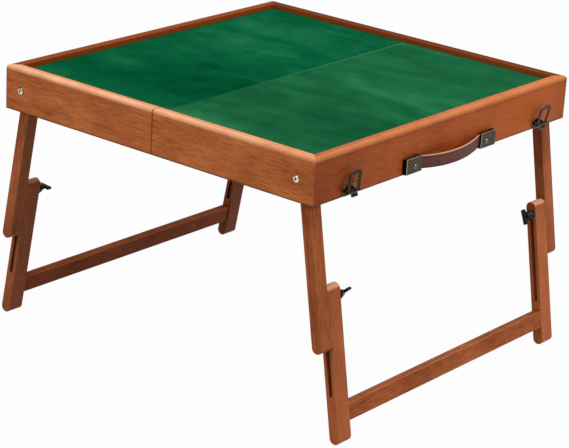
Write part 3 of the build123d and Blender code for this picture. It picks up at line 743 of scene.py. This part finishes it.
# Paler top rolled edge of the strap: partly wear, partly a painted highlight
strap_worn_and_lit = (0.520, 0.290, 0.210)
strap_places = (0.25, 0.50, 0.80)
strap_gloss = 0.15
cell_scale, cell_span, cell_share = 900.0, (0.0, 0.12), 0.6
mottle_scale, mottle_rough, leather_rough = 120.0, 0.22, 0.34
streak_scale, streak_span, streak_share = (60.0, 14.0, 240.0), (0.52, 0.70), 0.25
strap_edge_share, strap_shaded_share = 0.75, 0.8
grain_relief, grain_strength = 0.12 * MM, 0.6


def leather(name):
    """Maroon strap leather, paler along its top rolled edge from wear with a painted highlight,
    with painted shade along its lower rolled edge and in the creases.
    """
    look = Look(name, gloss=strap_gloss)
    inputs = {"Vector": look.place, "Scale": cell_scale}
    grain = look.node("TexVoronoi", inputs, feature="DISTANCE_TO_EDGE").outputs["Distance"]
    cells = look.rise(grain, cell_span)
    mottle = look.noise(look.place, mottle_scale, detail=4.0, roughness=0.65)
    streak = look.node("Mapping", {"Vector": look.place, "Scale": streak_scale}).outputs[0]
    creases = look.noise(streak, detail=3.0, roughness=0.6)
    look.colour = look.ramp(mottle, strap_places, strap_tones)
    look.tint(look.rise(creases, streak_span), streak_share, strap_dark)
    edge = look.node("Attribute", attribute_name="edge").outputs["Fac"]
    shaded = look.node("Attribute", attribute_name="shaded").outputs["Fac"]
    # The top rolled edge is paler: partly wear, partly a painted highlight
    look.tint(edge, strap_edge_share, strap_worn_and_lit)
    # Painted shade along the lower rolled edge and in the creases
    look.tint(shaded, strap_shaded_share, strap_dark)
    look.rough(mottle, mottle_rough, leather_rough)
    look.relief(look.plus(look.times(cells, cell_share), creases), grain_relief, grain_strength)
    return look.done()


# Strap shape
strap_gap = 0.3 * MM
crease_inset, crease_wide, crease_deep = 3.4 * MM, 0.55 * MM, 0.5 * MM
face_steps, round_steps = 16, 6
strap_stations = 96
bow_ease = 0.5 * MM


def strap_section():
    """The strap's outline as (out, up, how pale the top rolled edge is, how much painted shade the
    lower rolled edge and the creases get): rounded edges and a crease inside each.
    """
    half_thick, half_high = strap_thickness / 2, strap_height / 2
    crease_at = half_high - crease_inset
    flat = half_high - half_thick
    outline = []
    for face in (1, -1):
        for n in range(face_steps + 1):
            up = -face * flat + face * 2 * flat * n / face_steps
            near = math.exp(-((abs(up) - crease_at) / crease_wide) ** 2)
            out = face * (half_thick - crease_deep * near)
            outline.append((out, up, 0.0, near))
        for n in range(1, round_steps):
            angle = math.pi * n / round_steps
            out = face * half_thick * math.cos(angle)
            up = face * (flat + half_thick * math.sin(angle))
            outline.append((out, up, max(face, 0.0), max(-face, 0.0)))
    return outline


def bowed(y, rise):
    """Height of an arc over the strap's free length, easing to nothing inside the plates."""
    radius = (strap_free_half ** 2 + rise ** 2) / (2 * rise)
    height = math.sqrt(radius ** 2 - y ** 2) - (radius - rise)
    return (height + math.sqrt(height ** 2 + bow_ease ** 2)) / 2


def strap():
    """The carrying strap: one bowed, slightly sagging band of leather between the plates."""
    low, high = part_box("handle_strap")
    seat = half_length + strap_gap + strap_thickness / 2
    level = high.z - strap_height / 2
    outline = strap_section()
    mesh = bmesh.new()
    edge_layer = mesh.verts.layers.float.new("edge")
    shaded_layer = mesh.verts.layers.float.new("shaded")
    rings = []
    for n in range(strap_stations + 1):
        y = low.y + (high.y - low.y) * n / strap_stations
        ring = []
        for out, up, edge, shaded in outline:
            place = (seat + bowed(y, strap_bow) + out, y, level - bowed(y, strap_sag) + up)
            vert = mesh.verts.new(place)
            vert[edge_layer] = edge
            vert[shaded_layer] = shaded
            ring.append(vert)
        rings.append(ring)
    for first, second in zip(rings, rings[1:]):
        for i in range(len(outline)):
            j = (i + 1) % len(outline)
            mesh.faces.new((first[i], first[j], second[j], second[i]))
    mesh.faces.new(rings[0])
    mesh.faces.new(rings[-1])
    piece = finished(mesh, "handle_strap_leather")
    dress(piece, leather("leather"))
    dress("handle_pads", leather("pad_leather"))
    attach(piece, "case_right")
    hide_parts("handle_strap")


# Stage, with each lamp's name, place, size and power
floor_reach = 30.0
floor_grey = 0.40
floor_rough = 0.9
floor_shown = 0.97
sky_light = 0.44
lamp_aim = (0, 0, 0.35)
lamps = (
    ("key", (-0.3, -3.0, 2.2), 1.8, 46.0),
    ("fill", (2.9, 0.6, 2.3), 1.6, 48.0),
    ("top", (0.2, 0.4, 3.2), 2.2, 84.0),
)
white = (1, 1, 1, 1)


def stage():
    """A pale floor, soft lamps and an even sky, white where the camera sees them."""
    floor_mesh = bpy.data.meshes.new("floor")
    corners = [(x * floor_reach, y * floor_reach, 0)
               for x, y in ((-1, -1), (1, -1), (1, 1), (-1, 1))]
    floor_mesh.from_pydata(corners, [], [(0, 1, 2, 3)])
    floor = bpy.data.objects.new("floor", floor_mesh)
    bpy.context.scene.collection.objects.link(floor)
    made, shader = new_material("floor", floor_rough)
    shader.inputs["Base Color"].default_value = (floor_grey, floor_grey, floor_grey, 1.0)
    surface = Nodes(made.node_tree)
    rays = surface.node("LightPath").outputs
    seen = surface.larger(rays["Is Camera Ray"], rays["Is Glossy Ray"])
    glow = surface.node("Emission", {"Color": white, "Strength": 1.0}).outputs[0]
    inputs = {0: surface.times(seen, floor_shown), 1: shader.outputs[0], 2: glow}
    blend = surface.node("MixShader", inputs).outputs[0]
    surface.give(made.node_tree.nodes["Material Output"].inputs["Surface"], blend)
    floor_mesh.materials.append(made)

    world = bpy.data.worlds.new("world")
    bpy.context.scene.world = world
    world.use_nodes = True
    sky = Nodes(world.node_tree)
    rays = sky.node("LightPath").outputs
    seen = sky.larger(rays["Is Camera Ray"], rays["Is Transmission Ray"])
    inputs = {"Value": seen, "To Min": sky_light, "To Max": 1.0}
    background = world.node_tree.nodes["Background"]
    sky.give(background.inputs["Strength"], sky.node("MapRange", inputs).outputs[0])
    sky.give(background.inputs["Color"], white)

    for name, place, size, power in lamps:
        lamp(name, place, size, power)


def lamp(name, place, size, power):
    """A square soft lamp aimed at the case."""
    data = bpy.data.lights.new(name, "AREA")
    data.size = size
    data.energy = power
    piece = bpy.data.objects.new(name, data)
    piece.location = place
    aim = Vector(lamp_aim) - Vector(place)
    piece.rotation_euler = aim.to_track_quat("-Z", "Y").to_euler()
    bpy.context.scene.collection.objects.link(piece)


def camera():
    """The photograph's camera."""
    azimuth, elevation = math.radians(camera_azimuth), math.radians(camera_elevation)
    level = math.cos(elevation)
    back = Vector((math.sin(azimuth) * level, -math.cos(azimuth) * level, math.sin(elevation)))
    right = Vector((math.cos(azimuth), math.sin(azimuth), 0.0))
    up = back.cross(right)
    target = Vector((0, 0, case_top))
    place = back * camera_distance + right * camera_right + up * camera_up + target
    roll = math.radians(camera_roll)
    across = right * math.cos(roll) + up * math.sin(roll)
    upright = up * math.cos(roll) - right * math.sin(roll)
    data = bpy.data.cameras.new("camera")
    data.lens = camera_lens
    data.sensor_width = sensor_width
    data.sensor_fit = "HORIZONTAL"
    piece = bpy.data.objects.new("camera", data)
    turn = Matrix((across, upright, back)).transposed()
    piece.matrix_world = Matrix.Translation(place) @ turn.to_4x4()
    bpy.context.scene.collection.objects.link(piece)
    bpy.context.scene.camera = piece


dress_wood()
dress_metal()
for half in HALVES:
    felt_top(half)
strap()
stage()
camera()
bpy.context.scene.view_settings.view_transform = "Standard"
